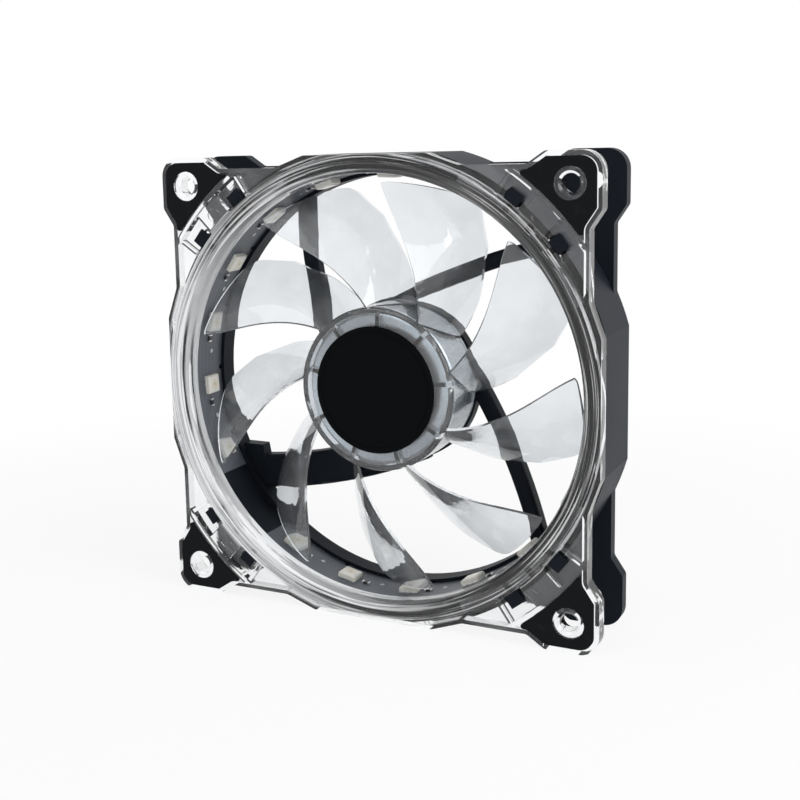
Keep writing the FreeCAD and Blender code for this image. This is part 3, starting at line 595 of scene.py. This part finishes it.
def add_vias(shape, diodes):
    """A flat tinned ring on the strip between one diode and the next."""
    low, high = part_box("led_strip")
    radius = strip_radius()
    share_of_width = 0.6
    depth = low.y + (high.y - low.y) * share_of_width
    sides = 16
    # Reach and height of the ring's section, from its outer foot to its inner one.
    section = ((1.0, 0.0), (0.9, 1.0), (0.6, 1.0), (0.5, 0.0))
    for turn in diode_turns(diodes)[:-1]:
        loops = []
        for reach, height in section:
            loop = []
            for index in range(sides):
                way = 2 * math.pi * index / sides
                spot = Vector((radius - diodes.via_height * height,
                               depth + diodes.via_radius * reach * math.cos(way),
                               diodes.via_radius * reach * math.sin(way)))
                loop.append(shape.verts.new(round_axis(turn + diodes.pitch / 2) @ spot))
            loops.append(loop)
        for outer, inner in zip(loops, loops[1:]):
            for index in range(sides):
                after = (index + 1) % sides
                shape.faces.new((outer[index], outer[after], inner[after], inner[index]))
    bmesh.ops.recalc_face_normals(shape, faces=shape.faces)


# ---- stage ---------------------------------------------------------------------------------
def seen_rays(finish):
    """1 for rays that show what lies behind: those of the camera, of glass and of gloss."""
    camera = finish.node("ShaderNodeLightPath", output="Is Camera Ray")
    glossy = finish.node("ShaderNodeLightPath", output="Is Glossy Ray")
    through = finish.node("ShaderNodeLightPath", output="Is Transmission Ray")
    return camera.largest(glossy).largest(through)


def floor_finish(stage):
    """A pale floor that shows as near white and keeps a soft shadow."""
    finish = Finish("studio_floor")
    cloud = finish.noise(6.0, 2.0)
    shade = finish.mix(cloud, tuple(stage.floor), [min(1.0, c * 1.01) for c in stage.floor])
    matt = finish.node("ShaderNodeBsdfDiffuse", inputs={"Color": shade})
    across, ahead, _ = finish.place()
    white = finish.node("ShaderNodeEmission", inputs={"Color": (1.0, 1.0, 1.0), "Strength": 1.0})
    away = (across * across + ahead * ahead).root().step(stage.floor_fade * 0.35, stage.floor_fade)
    share = seen_rays(finish) * (away * (1.0 - stage.floor_glow) + stage.floor_glow)
    both = finish.node("ShaderNodeMixShader", inputs={0: share, 1: matt, 2: white})
    finish.node("ShaderNodeOutputMaterial", inputs={"Surface": both})
    return finish.owner


def studio_world(stage):
    """White where it is seen, in gloss and through clear plastic, and a soft even light elsewhere."""
    world = bpy.data.worlds.new("studio")
    bpy.context.scene.world = world
    finish = Finish("studio", world)
    diffuse = finish.node("ShaderNodeLightPath", output="Is Diffuse Ray")
    level = 1.0 - diffuse * (1.0 - stage.fill)
    light = finish.node("ShaderNodeBackground", inputs={"Color": (1.0, 1.0, 1.0), "Strength": level})
    finish.node("ShaderNodeOutputWorld", inputs={"Surface": light})


def area_light(name, place, size, power):
    """A square lamp that looks at the fan."""
    data = bpy.data.lights.new(name, "AREA")
    data.size = size
    data.energy = power
    lamp = bpy.data.objects.new(name, data)
    lamp.location = place
    lamp.rotation_euler = (-Vector(place)).to_track_quat("-Z", "Y").to_euler()
    bpy.context.scene.collection.objects.link(lamp)
    return lamp


def studio_camera(stage):
    """The camera, right of the front and a little above."""
    data = bpy.data.cameras.new("camera")
    data.lens = stage.lens
    data.shift_x, data.shift_y = stage.shift
    data.clip_start = 1 * MM
    data.clip_end = 100.0
    camera = bpy.data.objects.new("camera", data)
    turn = (Matrix.Rotation(stage.azimuth, 4, "Z") @ Matrix.Rotation(math.pi / 2 - stage.elevation, 4, "X")
            @ Matrix.Rotation(stage.roll, 4, "Z"))
    camera.matrix_world = Matrix.Translation(stage.place) @ turn
    bpy.context.scene.collection.objects.link(camera)
    bpy.context.scene.camera = camera


# ---- operators -----------------------------------------------------------------------------
class FAN_OT_stage(bpy.types.Operator):
    """Make the floor, the lights and the camera"""

    bl_idname = "fan.stage"
    bl_label = "Stage"

    def execute(self, context):
        stage = context.scene.fan_stage
        low, _ = CAD_BOUNDS
        floor_reach = 12.0
        lamp_size = 0.5
        mesh = bpy.data.meshes.new("floor")
        shape = bmesh.new()
        bmesh.ops.create_grid(shape, x_segments=1, y_segments=1, size=floor_reach)
        shape.to_mesh(mesh)
        shape.free()
        floor = bpy.data.objects.new("floor", mesh)
        floor.location.z = low[2]
        mesh.materials.append(floor_finish(stage))
        context.scene.collection.objects.link(floor)
        studio_world(stage)
        area_light("key", (0.62, -0.12, 0.30), lamp_size, stage.key_power)
        area_light("top", (-0.15, -0.25, 0.62), lamp_size, stage.top_power)
        studio_camera(stage)
        context.scene.view_settings.view_transform = "Standard"
        return {"FINISHED"}


class FAN_OT_frames(bpy.types.Operator):
    """Finish the clear front frame, the black rear frame and the corner pads"""

    bl_idname = "fan.frames"
    bl_label = "Frames and pads"

    def execute(self, context):
        finishes = context.scene.fan_finishes
        coat("rear_frame", black_moulding(finishes))
        coat("front_frame", clear_ring(finishes))
        rubber = pad_rubber(finishes)
        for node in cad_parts:
            if "_pad_" in node:
                coat(node, rubber)
        return {"FINISHED"}


class FAN_OT_diodes(bpy.types.Operator):
    """Finish the diode strip and add its terminals, resistor ends and tinned rings"""

    bl_idname = "fan.diodes"
    bl_label = "Diode strip"

    def execute(self, context):
        finishes = context.scene.fan_finishes
        diodes = context.scene.fan_diodes
        coat("led_strip", solder_mask(finishes, diodes))
        coat("led_packages", white_package(finishes))
        coat("led_phosphors", phosphor_gel(finishes, diodes))
        coat("strip_resistors", plain_plastic("resistor_body", (0.02, 0.02, 0.022), 0.35))
        solder = tinned(finishes)
        piece("diode_terminals", "housing", solder, lambda shape: add_terminals(shape, diodes))
        piece("resistor_ends", "housing", solder, lambda shape: add_resistor_ends(shape, diodes))
        piece("strip_vias", "housing", solder, lambda shape: add_vias(shape, diodes))
        return {"FINISHED"}


class FAN_OT_rotor(bpy.types.Operator):
    """Finish the clear impeller, the hub disc and the rotor's metal parts"""

    bl_idname = "fan.rotor"
    bl_label = "Rotor"

    def execute(self, context):
        finishes = context.scene.fan_finishes
        coat("impeller", clear_impeller(finishes))
        coat("hub_disc", satin_disc(finishes))
        coat("rotor_yoke", drawn_steel(finishes))
        coat("ring_magnet", plain_plastic("bonded_magnet", (0.06, 0.055, 0.055), 0.6))
        coat("shaft_boss", plain_metal("turned_brass", (0.80, 0.62, 0.30), 0.2))
        coat("shaft", plain_metal("ground_steel", (0.72, 0.73, 0.75), 0.12))
        nylon = plain_plastic("nylon", (0.78, 0.77, 0.72), 0.4)
        coat("retaining_clip", nylon)
        coat("oil_ring", nylon)
        return {"FINISHED"}


class FAN_OT_motor(bpy.types.Operator):
    """Finish the bearing, the stator and the motor board"""

    bl_idname = "fan.motor"
    bl_label = "Motor"

    def execute(self, context):
        coat("bearing_tube", plain_metal("tube_brass", (0.78, 0.60, 0.30), 0.25))
        coat("sleeve_bearing", plain_metal("oiled_bronze", (0.45, 0.28, 0.14), 0.35))
        coat("thrust_pad", plain_plastic("thrust_plastic", (0.75, 0.74, 0.70), 0.45))
        coat("stator_core", plain_metal("laminations", (0.42, 0.43, 0.45), 0.35, 2600.0))
        bobbin = plain_plastic("bobbin_white", (0.74, 0.73, 0.69), 0.45)
        coat("bobbin_front", bobbin)
        coat("bobbin_rear", bobbin)
        copper = wound_copper()
        for number in range(1, 5):
            coat("coil_%d" % number, copper)
        coat("motor_board", plain_plastic("board_green", (0.03, 0.14, 0.07), 0.35, 800.0))
        chip = plain_plastic("chip_black", (0.02, 0.02, 0.022), 0.45)
        coat("driver_chip", chip)
        coat("hall_sensor", chip)
        coat("capacitors", plain_plastic("capacitor_ceramic", (0.42, 0.30, 0.18), 0.4))
        coat("terminal_pins", tinned(context.scene.fan_finishes))
        return {"FINISHED"}


class FAN_PT_sidebar(bpy.types.Panel):
    """The fan's settings and the buttons that make its pieces"""

    bl_idname = "FAN_PT_sidebar"
    bl_label = "Case fan"
    bl_space_type = "VIEW_3D"
    bl_region_type = "UI"
    bl_category = "Case fan"

    def draw(self, context):
        for group in (context.scene.fan_stage, context.scene.fan_finishes, context.scene.fan_diodes):
            box = self.layout.box()
            for name in group.__annotations__:
                box.prop(group, name)
        for operator in OPERATORS:
            self.layout.operator(operator.bl_idname)


OPERATORS = (FAN_OT_stage, FAN_OT_frames, FAN_OT_diodes, FAN_OT_rotor, FAN_OT_motor)
CLASSES = (FanFinishes, FanDiodes, FanStage) + OPERATORS + (FAN_PT_sidebar,)


def register():
    for kind in CLASSES:
        bpy.utils.register_class(kind)
    bpy.types.Scene.fan_finishes = PointerProperty(type=FanFinishes)
    bpy.types.Scene.fan_diodes = PointerProperty(type=FanDiodes)
    bpy.types.Scene.fan_stage = PointerProperty(type=FanStage)


def unregister():
    del bpy.types.Scene.fan_stage
    del bpy.types.Scene.fan_diodes
    del bpy.types.Scene.fan_finishes
    for kind in reversed(CLASSES):
        bpy.utils.unregister_class(kind)


def main():
    register()
    bpy.ops.fan.stage()
    bpy.ops.fan.frames()
    bpy.ops.fan.diodes()
    bpy.ops.fan.rotor()
    bpy.ops.fan.motor()


if __name__ == "__main__":
    main()
